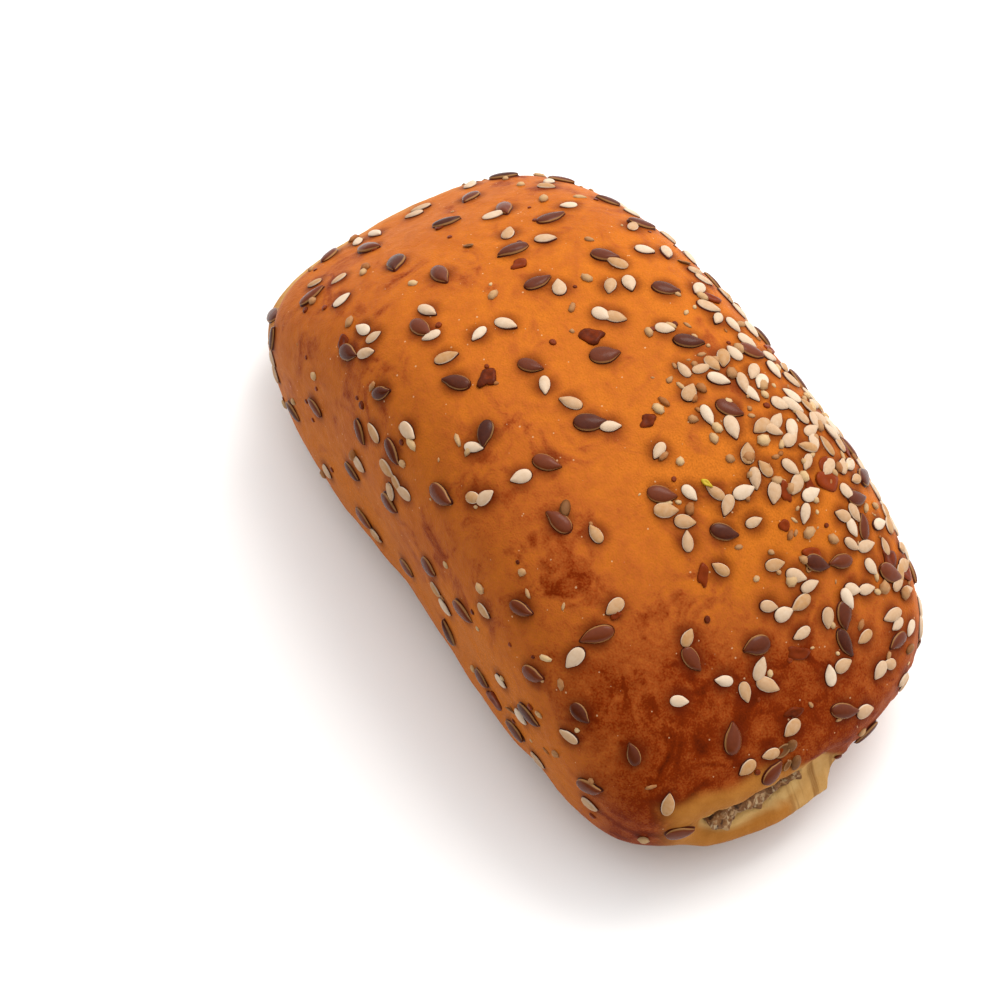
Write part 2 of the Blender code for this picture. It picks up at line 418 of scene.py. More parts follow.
def rise(value, start, fade):
    """0 up to the start and 1 once the fade is past, with a smooth rise between."""
    return smooth_step((value - start) / fade)


def window(value, low, high, soft):
    """1 between low and high, falling to 0 over soft on either side."""
    return smooth_step((value - low) / soft + 1) * smooth_step((high - value) / soft + 1)


def oval(point, middle, reach):
    """1 in the middle of an oval patch of the crust, falling off all round."""
    away = math.hypot((point.x - middle[0]) / reach[0], (point.y - middle[1]) / reach[1])
    return bell(away, 0.0, 1.0)


def unit_form(direction):
    """The point of a squarish form of half size 1 that a direction from its middle meets."""
    squareness = DOME_SQUARENESS if direction.z >= 0 else BELLY_SQUARENESS
    power = PLAN_SQUARENESS
    plan = (abs(direction.x) ** power + abs(direction.y) ** power) ** (1 / power)
    reach = (plan ** squareness + abs(direction.z) ** squareness) ** (-1 / squareness)
    return direction * reach


def end_shift(end, share, y, z):
    """How far the dough of one end stands out along X: its lip and rim forward, its mouth and tuck back."""
    nearness = smooth_step((end.side * share - END_START) / END_FADE)
    if nearness == 0:
        return 0.0
    recess = end.recess_depth * bell(z, end.mouth.level, end.recess_spread)
    rim = end.rim_reach * bell(z, end.mouth.level + 2 * end.recess_spread, end.recess_spread)
    low_down = bell(z, end.lip_level, end.lip_spread)
    at_mouth = window(y, end.low, end.high, end.fade)
    beside = smooth_step((y - end.high) / end.fade)
    lip = end.lip_reach * low_down * bell(y, end.lip_centre, end.lip_width)
    shift = at_mouth * (lip + rim - recess) - beside * end.tuck * low_down
    return end.side * nearness * shift


def dough_point(direction):
    """The dough's outer surface in a direction from the roll's middle."""
    unit = unit_form(direction)
    waist = WAIST_LEVEL * ROLL_HEIGHT
    x = unit.x * ROLL_LENGTH / 2 * (1 - END_BULGE * unit.y ** 2) * (1 - LONGER_SIDE * unit.y)
    y = unit.y * ROLL_WIDTH / 2 * (1 + WIDENING * unit.x)
    if unit.z >= 0:
        z = waist + (ROLL_HEIGHT - waist) * (1 - ARCH_DROP * abs(unit.x) ** ARCH_POWER) * unit.z
    else:
        z = waist + waist * BASE_CUT * unit.z
    x += sum(end_shift(end, unit.x, y, z) for end in ENDS)
    point = Vector((x + CENTRING_X, y + CENTRING_Y, z))
    outward = unit.normalized()
    swell = SWELL_HEIGHT * noise.noise(point / SWELL_SIZE)
    base_wave = BASE_WAVE_HEIGHT * noise.noise(point / BASE_WAVE_SIZE) * (1 - smooth_step(z / waist))
    point += outward * swell + Vector((outward.x, outward.y, 0)) * base_wave
    point.z = max(point.z, 0.0)
    return point


def filling_section(x):
    """The filling bar's section at x, from full in the middle to the size of each end's mouth."""
    end = SLIT_END if x > 0 else GAPE_END
    share = smooth_step((abs(x) / (ROLL_LENGTH / 2) - MIDDLE_SHARE) / (MOUTH_SHARE - MIDDLE_SHARE))

    def between(middle, mouth):
        return middle + (mouth - middle) * share

    return Section(
        centre=between(MIDDLE.centre, end.mouth.centre),
        level=between(MIDDLE.level, end.mouth.level),
        half_width=between(MIDDLE.half_width, end.mouth.half_width),
        half_height=between(MIDDLE.half_height, end.mouth.half_height),
    )


def gridded_cube(cuts):
    """A cube from -1 to 1 whose edges along X, Y and Z are cut into even grids."""
    shape = bmesh.new()
    bmesh.ops.create_cube(shape, size=2)
    for axis, count in enumerate(cuts):
        along = [e for e in shape.edges if abs((e.verts[0].co - e.verts[1].co)[axis]) > 1]
        bmesh.ops.subdivide_edges(shape, edges=along, cuts=count, use_grid_fill=True)
    return shape


def crowd_to_edge(value):
    """Moves evenly spaced grid lines closer together towards -1 and 1."""
    return (value + math.sin(value * math.pi / 2)) / 2


def put_in_scene(name, data):
    """Makes an object of a mesh, a light or a camera and puts it in the scene."""
    obj = bpy.data.objects.new(name, data)
    bpy.context.scene.collection.objects.link(obj)
    return obj


def add_object(name, shape):
    """Makes an object from a bmesh and frees the bmesh."""
    bmesh.ops.recalc_face_normals(shape, faces=shape.faces)
    mesh = bpy.data.meshes.new(name)
    shape.to_mesh(mesh)
    shape.free()
    mesh.shade_smooth()
    return put_in_scene(name, mesh)


def round_section(across, up, section):
    """Where a point of a square from -1 to 1 lies in the filling's rounded section, with its uneven edge."""
    ring = max(abs(across), abs(up))
    power = FILLING_SQUARENESS
    corner = (abs(across) ** power + abs(up) ** power) ** (1 / power)
    fold = ring / corner if corner > 0 else 0
    y = section.centre + across * fold * section.half_width
    z = section.level + up * fold * section.half_height
    wave = EDGE_WAVE_HEIGHT * noise.noise(Vector((0, y, z)) / EDGE_WAVE_SIZE)
    return y, z + wave


def surface_frame(direction):
    """Point, outward normal and relative area of the dough's surface in a direction."""
    step = SURFACE_STEP
    side = direction.orthogonal().normalized()
    other = direction.cross(side)
    point = dough_point(direction)
    first = (dough_point((direction + side * step).normalized()) - point) / step
    second = (dough_point((direction + other * step).normalized()) - point) / step
    normal = first.cross(second)
    area = normal.length
    return point, normal.normalized(), area


def on_cut_face(point):
    """Whether a point lies on an end where the filling comes out, or on the lip below it."""
    for end in ENDS:
        mouth = end.mouth
        beside = abs(point.y - mouth.centre) < mouth.half_width + MOUTH_CLEARANCE
        below_rim = point.z < mouth.level + mouth.half_height + MOUTH_CLEARANCE
        if end.side * point.x > CUT_FACE_START * ROLL_LENGTH / 2 and beside and below_rim:
            return True
    return False


def flax_density(point):
    """Flax lies evenly on the glazed crust."""
    return rise(point.z, SEED_LOWEST, SEED_FADE)


def sesame_band(point):
    """1 on the +Y shoulder from mid-length to the slit end, where the sesame fell thick."""
    return window(point.x, *SESAME_ALONG) * window(point.y, *SESAME_ACROSS)


def sesame_density(point):
    """Sesame is thin everywhere and thick in its band."""
    return flax_density(point) * (SESAME_ELSEWHERE + (1 - SESAME_ELSEWHERE) * sesame_band(point))


def sesame_heart(point):
    """1 in the middle of the sesame band, falling off all round, with a few seeds anywhere."""
    heart = oval(point, HEART_MIDDLE, HEART_REACH)
    return (HEART_ELSEWHERE + (1 - HEART_ELSEWHERE) * heart) * flax_density(point)


def scatter(draw, kind, density, taken):
    """Places seeds one by one on the dough, by density, apart from each other and from those in taken."""
    placed = []
    while len(placed) < kind.count:
        direction = Vector([draw.gauss(0, 1) for _ in range(3)]).normalized()
        chance = draw.random()
        size = 1 + draw.uniform(-SEED_SIZE_SPREAD, SEED_SIZE_SPREAD)
        heading = draw.uniform(0, 2 * math.pi)
        if draw.random() < kind.aligned:
            heading = draw.gauss(BRUSH_HEADING, BRUSH_SPREAD)
        point, normal, area = surface_frame(direction)
        if chance > density(point) * area / LARGEST_AREA or on_cut_face(point):
            continue
        if any((point - other).length < kind.spacing for other in taken):
            continue
        taken.append(point)
        placed.append((point, normal, heading, size))
    return placed


def lying_axes(normal, heading):
    """Axes of a thing lying on the dough: X at the heading in plan, and Z along the normal."""
    level = Vector((math.cos(heading), math.sin(heading), 0))
    along = (level - normal * level.dot(normal)).normalized()
    return Matrix((along, normal.cross(along), normal)).transposed().to_4x4()


def mouth_distance(end, point):
    """How far a point of an end face is outside its mouth, in Y and Z, and below 0 inside it."""
    mouth = end.mouth
    beside = max(abs(point.y - mouth.centre) - (mouth.half_width - mouth.half_height), 0.0)
    return math.hypot(beside, point.z - mouth.level) - mouth.half_height


def end_nearness(end, point):
    """1 near an end face, falling to 0 where the end begins."""
    return rise(end.side * point.x / (ROLL_LENGTH / 2), FACE_START, FACE_FADE)


def pull_share(point):
    """1 on the strip of stretched dough beside the slit, on its +Y side."""
    top = PULL_HIGH - PULL_SLOPE * max(point.y, 0.0)
    beside = window(point.y, *PULL_ACROSS)
    return end_nearness(SLIT_END, point) * beside * window(point.z, PULL_LOW, top, PULL_FADE)


def relief(point):
    """How far the fine surface stands off the plain form along its normal."""
    height = DIMPLE_HEIGHT * noise.noise(point / DIMPLE_SIZE)
    height += WRINKLE_HEIGHT * noise.noise(point / WRINKLE_SIZE)
    for end in ENDS:
        nearness = end_nearness(end, point)
        if nearness > 0:
            torn = nearness * bell(mouth_distance(end, point), 0.0, TEAR_WIDTH)
            height += torn * TEAR_HEIGHT * noise.noise(point / TEAR_SIZE)
    pulled = pull_share(point)
    if pulled > 0:
        stretched = Vector((0, point.y / PULL_WIDTH, point.z / PULL_LENGTH))
        height += pulled * PULL_HEIGHT * noise.noise(stretched)
    ragged = end_nearness(SLIT_END, point) * window(point.y, *RAGGED_ACROSS)
    ragged *= bell(point.z, RAGGED_LEVEL, RAGGED_SPREAD)
    if ragged > 0:
        height += ragged * RAGGED_HEIGHT * noise.noise(point / RAGGED_SIZE)
    return height


def bar_point(along, across, up):
    """Where a point of a cube from -1 to 1 lies on the filling bar, and the end that it belongs to."""
    end = SLIT_END if along > 0 else GAPE_END
    x = along * end.filling_reach
    y, z = round_section(across, up, filling_section(x))
    return Vector((x, y, z)), end


def make_channel():
    """The filling bar's form, run on out of the dough at both ends, to cut the dough's channel."""
    stations, across_cuts, up_cuts = CHANNEL_CUTS
    shape = gridded_cube((stations + 2, across_cuts, up_cuts))
    for vertex in shape.verts:
        along, across, up = vertex.co
        station = along * (stations + 3) / (stations + 1)
        point, end = bar_point(min(max(station, -1.0), 1.0), across, up)
        if abs(station) > 1 + GRID_SLACK:
            point.x += end.side * CHANNEL_OVERHANG
        vertex.co = point
    return add_object("channel_cutter", shape)


def cut_channel(dough):
    """The dough's mesh with the channel cut through it."""
    channel = make_channel()
    hollow = dough.modifiers.new("channel", "BOOLEAN")
    hollow.operation = "DIFFERENCE"
    hollow.object = channel
    depsgraph = bpy.context.evaluated_depsgraph_get()
    cut = bpy.data.meshes.new_from_object(dough.evaluated_get(depsgraph), depsgraph=depsgraph)
    dough.modifiers.clear()
    bpy.data.objects.remove(channel)
    return cut


def round_rims(shape):
    """Welds and smooths the sharp rims of the two mouths."""
    rims = [
        v for v in shape.verts
        if any(end_nearness(end, v.co) > 0 and abs(mouth_distance(end, v.co)) < RIM_ROUNDING for end in ENDS)
    ]
    bmesh.ops.remove_doubles(shape, verts=rims, dist=RIM_WELD)
    rims = [v for v in rims if v.is_valid]
    for _ in range(RIM_SMOOTHINGS):
        bmesh.ops.smooth_vert(
            shape, verts=rims, factor=0.5, use_axis_x=True, use_axis_y=True, use_axis_z=True,
        )


def make_dough():
    """The dough on a fine grid, with its channel cut through and the relief of crust, tears and pulls."""
    shape = gridded_cube(DOUGH_CUTS)
    for vertex in shape.verts:
        direction = Vector((crowd_to_edge(vertex.co.x), vertex.co.y, vertex.co.z))
        vertex.co = dough_point(direction.normalized())
    dough = add_object("baked_dough", shape)

    shape = bmesh.new()
    shape.from_mesh(cut_channel(dough))
    round_rims(shape)
    shape.normal_update()
    moves = [v.normal * relief(v.co) for v in shape.verts]
    for vertex, move in zip(shape.verts, moves):
        vertex.co += move
        vertex.co.z = max(vertex.co.z, 0.0)
    shape.to_mesh(dough.data)
    shape.free()
    dough.data.shade_smooth()
    return dough


def make_filling():
    """The filling bar on a fine grid, with crumbly ends."""
    shape = gridded_cube(FILLING_CUTS)
    for vertex in shape.verts:
        along, across, up = vertex.co
        point, end = bar_point(along, across, up)
        crumble = CRUMBLE_HEIGHT * noise.noise(point / CRUMBLE_SIZE)
        crumble += CRUMB_HEIGHT * noise.noise(point / CRUMB_SIZE)
        point.x += end.side * crumble * rise(abs(along), CRUMBLE_START, CRUMBLE_FADE)
        vertex.co = point
    return add_object("potato_liver_filling", shape)


def paint(mesh, values):
    """Gives a mesh named lists of values, with one value for each of its points."""
    for title, numbers in values.items():
        mesh.attributes.new(title, "FLOAT", "POINT").data.foreach_set("value", numbers)


class Heap:
    """Gathers many small shapes into one mesh, with a tint and an edge value at each of its points."""

    def __init__(self):
        self.points = []
        self.faces = []
        self.tints = []
        self.edges = []

    def add(self, shape, matrix, tint):
        points, faces, edges = shape
        first = len(self.points)
        self.points += [matrix @ p for p in points]
        self.faces += [[first + i for i in face] for face in faces]
        self.edges += edges
        self.tints += [tint] * len(points)

    def build(self, name):
        mesh = bpy.data.meshes.new(name)
        mesh.from_pydata(self.points, [], self.faces)
        paint(mesh, {"tint": self.tints, "edge": self.edges})
        mesh.shade_smooth()
        return put_in_scene(name, mesh)


def once_round(count):
    """Even angles from 0 once round."""
    return [2 * math.pi * i / count for i in range(count)]


def oval_ring(half_length, half_width, level, sides):
    """The points of a level oval."""
    return [Vector((math.cos(a) * half_length, math.sin(a) * half_width, level)) for a in once_round(sides)]


def band(low, high, around):
    """The faces between two rings of points that start at low and high."""
    return [(low + i, low + (i + 1) % around, high + (i + 1) % around, high + i) for i in range(around)]


def ringed_shape(rings, first_pole, last_pole, edges=None):
    """Closes a stack of rings of points with a point at each end, all as points, faces and edge values."""
    around = len(rings[0])
    points = [first_pole] + [p for ring in rings for p in ring] + [last_pole]
    faces = [(0, 1 + (i + 1) % around, 1 + i) for i in range(around)]
    for j in range(len(rings) - 1):
        faces += band(1 + j * around, 1 + (j + 1) * around, around)
    last = len(points) - 1
    low = last - around
    faces += [(low + i, low + (i + 1) % around, last) for i in range(around)]
    return points, faces, edges or [0.0] * len(points)


def outline_point(kind, angle):
    """A point of a seed's outline from above. Angle 0 is the tip, and flax has a beak bent to one side."""
    x = math.cos(angle) / 2
    sharpening = 1 - TIP_NARROWING * rise(x, TIP_START, 0.5 - TIP_START)
    y = math.sin(angle) / 2 * (1 - kind.taper * x) * sharpening
    beak = BEAK_BEND * rise(x, BEAK_START, 0.5 - BEAK_START) if kind.name == "flax" else 0.0
    return x * kind.length, (y + beak) * kind.width


def seed_shape(kind):
    """One seed with its tip towards +X: a flattened drop with a thin edge round its middle."""
    around, along = SEED_GRID
    rings = []
    edges = [0.0]
    for j in range(1, along):
        angle = math.pi * j / along
        x, left = outline_point(kind, angle)
        _, right = outline_point(kind, -angle)
        middle = (left + right) / 2
        spread = (left - right) / 2
        height = kind.thickness / 2 * math.sin(angle) ** SEED_FULLNESS
        ring = []
        for turn in once_round(around):
            edge = bell(math.sin(turn), 0.0, SEED_EDGE_BREADTH)
            y = middle + spread * math.cos(turn) * (1 + SEED_EDGE_SHARE * edge)
            z = height * math.copysign(abs(math.sin(turn)) ** LENS_SHARPNESS, math.sin(turn))
            ring.append(Vector((x, y, z)))
            edges.append(edge)
        rings.append(ring)
    edges.append(0.0)
    _, beak = outline_point(kind, 0)
    return ringed_shape(rings, Vector((kind.length / 2, beak, 0)), Vector((-kind.length / 2, 0, 0)), edges)


def glaze_collar(kind):
    """A ring of glaze that crept up round a seed, with a thin outer edge. It is drawn dark, as baked glaze
    and as the painted shadow where the seed meets the crust.
    """
    points = []
    for reach, level in (
        (GLAZE_REACH, -GLAZE_SUNK),
        (GLAZE_REACH * GLAZE_MIDWAY, GLAZE_FILM),
        (-GLAZE_OVERLAP, GLAZE_CLIMB),
    ):
        for angle in once_round(GLAZE_SIDES):
            x, y = outline_point(kind, angle)
            outward = Vector((math.cos(angle) * kind.width, math.sin(angle) * kind.length, 0)).normalized()
            points.append(Vector((x, y, level)) + outward * reach)
    faces = band(0, GLAZE_SIDES, GLAZE_SIDES) + band(GLAZE_SIDES, 2 * GLAZE_SIDES, GLAZE_SIDES)
    return points, faces, [0.0] * len(points)


def lay_seeds():
    """Where the seeds lie: those of the solids, then more of each, some lifted onto others."""
    draw = random.Random(SCATTER_SEED)
    taken = []
    laid = [(FLAX, place, 0.0) for place in scatter(draw, FLAX, flax_density, taken)]
    laid += [(SESAME, place, 0.0) for place in scatter(draw, SESAME, sesame_density, taken)]
    for kind in (EXTRA_FLAX, EXTRA_SESAME):
        before = list(taken)
        for place in scatter(draw, kind, sesame_heart, taken):
            nearest = min((place[0] - other).length for other in before)
            laid.append((kind, place, PILE_LIFT * (1 - smooth_step(nearest / PILE_REACH))))
    return laid


def make_seeds(laid):
    """The flax, the sesame, and a dark ring round those on the crust: glaze that crept up, and painted
    shadow where seed meets crust. Piled seeds are tilted most.
    """
    draw = random.Random(DRESSING_SEED)
    shapes = {kind.name: seed_shape(kind) for kind in (FLAX, SESAME)}
    collars = {kind.name: glaze_collar(kind) for kind in (FLAX, SESAME)}
    heaps = {name: Heap() for name in ("flax", "sesame", "glaze")}
    for kind, (point, normal, heading, size), lift in laid:
        axes = lying_axes(normal, heading)
        angle = draw.gauss(0, PILE_TILT) * min(1.0, lift / PILE_LIFT + LEAST_TILT)
        tilt = Matrix.Rotation(angle, 4, (draw.random(), draw.random(), 0))
        middle = point + normal * (kind.thickness * size * (0.5 - SEED_SUNK_SHARE) + lift)
        girth = Matrix.Diagonal([draw.uniform(least, most) for least, most in SEED_GIRTHS] + [1])
        grown = Matrix.Scale(size, 4)
        matrix = Matrix.Translation(middle) @ axes @ tilt @ girth @ grown
        heaps[kind.name].add(shapes[kind.name], matrix, draw.random())
        # Seeds on the crust get a dark ring: glaze that crept up, and painted shadow where seed meets crust
        if lift == 0:
            matrix = Matrix.Translation(point) @ axes @ girth @ grown
            heaps["glaze"].add(collars[kind.name], matrix, draw.random())
    return [
        heaps["flax"].build("flax_seeds"),
        heaps["sesame"].build("sesame_seeds"),
        heaps["glaze"].build("seed_glaze_and_shadow"),
    ]


def strew(draw, name, count, density, make_shape, sunk):
    """Strews small things of one kind on the crust, each with a shape of its own."""
    heap = Heap()
    kind = replace(SESAME, count=count, spacing=BIT_SPACING, aligned=0.0)
    for point, normal, heading, size in scatter(draw, kind, density, []):
        shape = make_shape(draw)
        matrix = Matrix.Translation(point - normal * sunk) @ lying_axes(normal, heading)
        heap.add(shape, matrix @ Matrix.Scale(size, 4), draw.random())
    return heap.build(name)


def blister_shape(draw):
    """A low round bubble of glaze with a soft dip in its top."""
    radius = draw.uniform(*BLISTER_RADII)
    height = radius * BLISTER_HEIGHT
    rings = [
        oval_ring(radius * share, radius * share * BLISTER_BREADTH, height * level, BLISTER_SIDES)
        for share, level in ((1.0, 0.0), (0.85, 0.5), (0.6, 0.75), (0.3, 0.7))
    ]
    return ringed_shape(rings, Vector((0, 0, -BLISTER_ROOT)), Vector((0, 0, radius * BLISTER_DIP)))


def flake_shape(draw):
    """A thin uneven patch of glaze that browned hard and cracked off at one edge."""
    radius = draw.uniform(*FLAKE_RADII)
    breadth = draw.uniform(*FLAKE_BREADTHS)
    bends = [(draw.uniform(*FLAKE_BENDS), draw.uniform(0, 2 * math.pi)) for _ in range(3)]
    rings = []
    for share, level in ((1.0, -0.0001), (0.94, 0.00012), (0.6, 0.00022), (0.25, 0.00018)):
        ring = []
        for angle in once_round(FLAKE_SIDES):
            bent = sum(size * math.sin((k + 2) * angle + start) for k, (size, start) in enumerate(bends))
            reach = radius * share * (1 + bent * share)
            lifted = FLAKE_LIFT * (1 + math.cos(angle)) * share
            ring.append(Vector((math.cos(angle) * reach, math.sin(angle) * reach * breadth, level + lifted)))
        rings.append(ring)
    return ringed_shape(rings, Vector((0, 0, -FLAKE_ROOT)), Vector((0, 0, FLAKE_TOP)))


def chip_shape(draw):
    """A broken bit of seed or crust, uneven on all sides."""
    length = draw.uniform(*CHIP_LENGTHS)
    width = length * draw.uniform(*CHIP_BREADTHS)
    rings = []
    for share, level in ((0.8, 0.0), (1.0, 0.35), (0.6, 0.8)):
        ring = oval_ring(length * share, width * share, width * level, CHIP_SIDES)
        for point in ring:
            point.x *= draw.uniform(*CHIP_BENDS)
            point.y *= draw.uniform(*CHIP_BENDS)
        rings.append(ring)
    return ringed_shape(rings, Vector((0, 0, -CHIP_ROOT)), Vector((0, 0, width * CHIP_TOP)))


def husk_shape(draw):
    """Half a seed's empty husk: a thin oval bowl, open upwards."""
    length = draw.uniform(*HUSK_LENGTHS)
    width = length * draw.uniform(*HUSK_BREADTHS)
    rings = []
    edges = [0.0]
    for share, depth, edge in ((0.6, 0.8, 0.0), (1.0, 0.1, 0.5), (0.84, 0.0, 0.7), (0.55, 0.45, 0.0)):
        rings.append(oval_ring(length * share, width * share, -depth * width * HUSK_DEPTH, HUSK_SIDES))
        edges += [edge] * HUSK_SIDES
    edges.append(0.0)
    outside = Vector((0, 0, -width * HUSK_DEPTH))
    inside = Vector((0, 0, -width * HUSK_FLOOR))
    return ringed_shape(rings, outside, inside, edges)


def resting_place(near):
    """Point and normal of the dough nearest to a place, found by turning a direction towards it in steps."""
    direction = near.normalized()
    for _ in range(NEARING_STEPS):
        direction = (direction + (near - dough_point(direction)) * NEARING_PULL).normalized()
    point, normal, _ = surface_frame(direction)
    return point, normal


def lay_husks(draw):
    """Empty husks among the thick sesame, and a little cluster of them above the slit."""
    heap = Heap()
    kind = replace(SESAME, count=HUSK_COUNT, spacing=HUSK_SPACING, aligned=0.0)
    places = [(point, normal) for point, normal, _, _ in scatter(draw, kind, sesame_heart, [])]
    for _ in range(SLIT_HUSK_COUNT):
        aside = Vector([draw.uniform(-SLIT_HUSK_SPREAD, SLIT_HUSK_SPREAD) for _ in range(3)])
        places.append(resting_place(SLIT_HUSKS + aside))
    for point, normal in places:
        tilt = Matrix.Rotation(draw.gauss(0, HUSK_TILT), 4, (draw.random(), draw.random(), 0.1))
        if draw.random() < UPSIDE_DOWN_SHARE:
            tilt = tilt @ Matrix.Rotation(math.pi, 4, "X")
        axes = lying_axes(normal, draw.uniform(0, 2 * math.pi))
        lift = draw.uniform(*HUSK_LIFTS)
        heap.add(husk_shape(draw), Matrix.Translation(point + normal * lift) @ axes @ tilt, draw.random())
    return heap.build("split_husks")


def lay_fleck(draw):
    """The one yellow fleck of peel among the sesame."""
    heap = Heap()
    point, normal = resting_place(FLECK_PLACE)
    shape = flake_shape(draw)
    axes = lying_axes(normal, FLECK_HEADING)
    grown = Matrix.Scale(FLECK_REACH / max(p.length for p in shape[0]), 4)
    heap.add(shape, Matrix.Translation(point + normal * FLECK_LIFT) @ axes @ grown, 0.5)
    return heap.build("yellow_fleck")


def browning_sheen_and_shade(point):
    """How dark the crust is drawn at a point, from 0, golden, to 1, dark brown.

    It is darkest over the slit end's edge. The -Y shoulder is darker, browned and with painted shade on the
    side away from the light. It is lighter in a patch of painted sheen near the slit end, on the -Y wall,
    under the sesame and low down.
    """
    x, y, z = point
    slanted = rise(x - END_BROWN_SLANT * y, *END_BROWN_EDGE)
    end_face = rise(x, *FACE_BROWN_EDGE) * (1 - FAR_FACE_LIGHTER * rise(y, *FAR_FACE_EDGE))
    # The -Y shoulder is darker: browning, and painted shade on the side away from the light
    shoulder = bell(y, SHOULDER_MIDDLE, SHOULDER_WIDTH) * (1 - rise(x, *SHOULDER_EDGE))
    shoulder *= SHOULDER_BROWN_AND_SHADE + SHOULDER_SPOT_BROWN_AND_SHADE * bell(x, SHOULDER_SPOT, SHOULDER_SPOT_WIDTH)
    # Painted sheen: the crust is drawn lighter where the glaze shines near the slit end
    painted_sheen = oval(point, PAINTED_SHEEN_MIDDLE, PAINTED_SHEEN_REACH)
    wall = window(x, *WALL_ALONG) * (1 - rise(y, *WALL_SIDE_EDGE))
    wall *= 1 - rise(z, *WALL_TOP_EDGE)
    low_side = 1 - rise(z, *LOW_SIDE_EDGE)
    patches = noise.fractal(point / PATCH_SIZE, 1.0, 2.0, 3)
    level = EVEN_BROWN + END_BROWN * max(slanted, FACE_BROWN_SHARE * end_face)
    level += shoulder + PATCH_BROWN * patches
    level -= PAINTED_SHEEN_LIGHTER * painted_sheen + WALL_LIGHTER * wall + SESAME_LIGHTER * sesame_band(point)
    return level - LOW_SIDE_LIGHTER * low_side * (1 - end_face)


def stain_and_shade_near_seeds(point, tree, laid):
    """How much juice baked brown round the seeds, and painted shade round them, a point of the crust has,
    from 0 to 1.
    """
    stain_and_shade = 0.0
    for _, index, distance in tree.find_range(point, STAIN_AND_SHADE_REACH + FLAX.width):
        kind = laid[index][0]
        stain_and_shade = max(stain_and_shade, 1 - rise(distance, kind.width * STAIN_AND_SHADE_START, STAIN_AND_SHADE_REACH))
    return stain_and_shade


def pale_rim(end, y):
    """How far the pale dough runs up above a mouth: at the slit it narrows towards +Y and ends beside it."""
    if end is GAPE_END:
        return RIM_PALE
    narrowed = SLIT_RIM_NARROWED * rise(y, *SLIT_RIM_NARROWING)
    return SLIT_RIM_PALE - narrowed - SLIT_RIM_DROP * rise(y, *SLIT_RIM_DROPPING)


def torn_dough(end, point):
    """How much of an end's golden dough and how much of its cream crumb a point has."""
    nearness = end_nearness(end, point)
    if nearness == 0:
        return 0.0, 0.0
    uneven = RIM_WAVE_HEIGHT * noise.noise(point / RIM_WAVE_SIZE)
    across = window(point.y, end.low - RIM_SIDE_FADE, end.high, RIM_SIDE_FADE)
    rim_top = end.mouth.level + end.mouth.half_height + pale_rim(end, point.y) + uneven
    golden = nearness * across * (1 - rise(point.z, rim_top, RIM_FADE))
    reach = CREAM_AT_SLIT if end is SLIT_END else CREAM_AT_GAPE
    crumb = nearness * (1 - smooth_step((mouth_distance(end, point) + uneven) / reach))
    return golden, crumb


def paint_dough(dough, laid):
    """Gives each point of the dough how brown it baked with its painted sheen and shade, the juice round the
    seeds with its painted shade, its golden low side and pale torn crumb.
    """
    tree = kdtree.KDTree(len(laid))
    for index, (_, place, _) in enumerate(laid):
        tree.insert(place[0], index)
    tree.balance()
    values = {title: [] for title in PAINTED}
    for vertex in dough.data.vertices:
        point = vertex.co
        pulled = pull_share(point)
        golden, crumb = zip(*(torn_dough(end, point) for end in ENDS))
        values["browned_sheen_shade"].append(browning_sheen_and_shade(point))
        values["stain_and_shade"].append(stain_and_shade_near_seeds(point, tree, laid))
        values["golden"].append(max(1 - rise(point.z, *GOLD_EDGE), *golden))
        values["crumb"].append(max(PULLED_CRUMB * pulled, *crumb))
        values["pulled"].append(pulled)
    paint(dough.data, values)


def linear(colour):
    """An sRGB hex colour as linear red, green, blue and alpha."""
    channels = [int(colour[i:i + 2], 16) / 255 for i in (1, 3, 5)]
    return tuple(c / 12.92 if c <= 0.04045 else ((c + 0.055) / 1.055) ** 2.4 for c in channels) + (1.0,)


def add(tree, kind, inputs=None, output=0, **settings):
    """Adds a shader node with its settings, sets or links its inputs, and returns one of its outputs."""
    node = tree.nodes.new("ShaderNode" + kind)
    for name, value in settings.items():
        setattr(node, name, value)
    for name, value in (inputs or {}).items():
        if isinstance(value, bpy.types.NodeSocket):
            tree.links.new(value, node.inputs[name])
        else:
            node.inputs[name].default_value = linear(value) if isinstance(value, str) else value
    return node.outputs[output] if len(node.outputs) else None


def new_material(name):
    """An empty material, with its tree and the surface's own coordinates in metres."""
    material = bpy.data.materials.new(name)
    material.use_nodes = True
    tree = material.node_tree
    tree.nodes.clear()
    place = add(tree, "TexCoord", output="Object")
    return material, tree, place


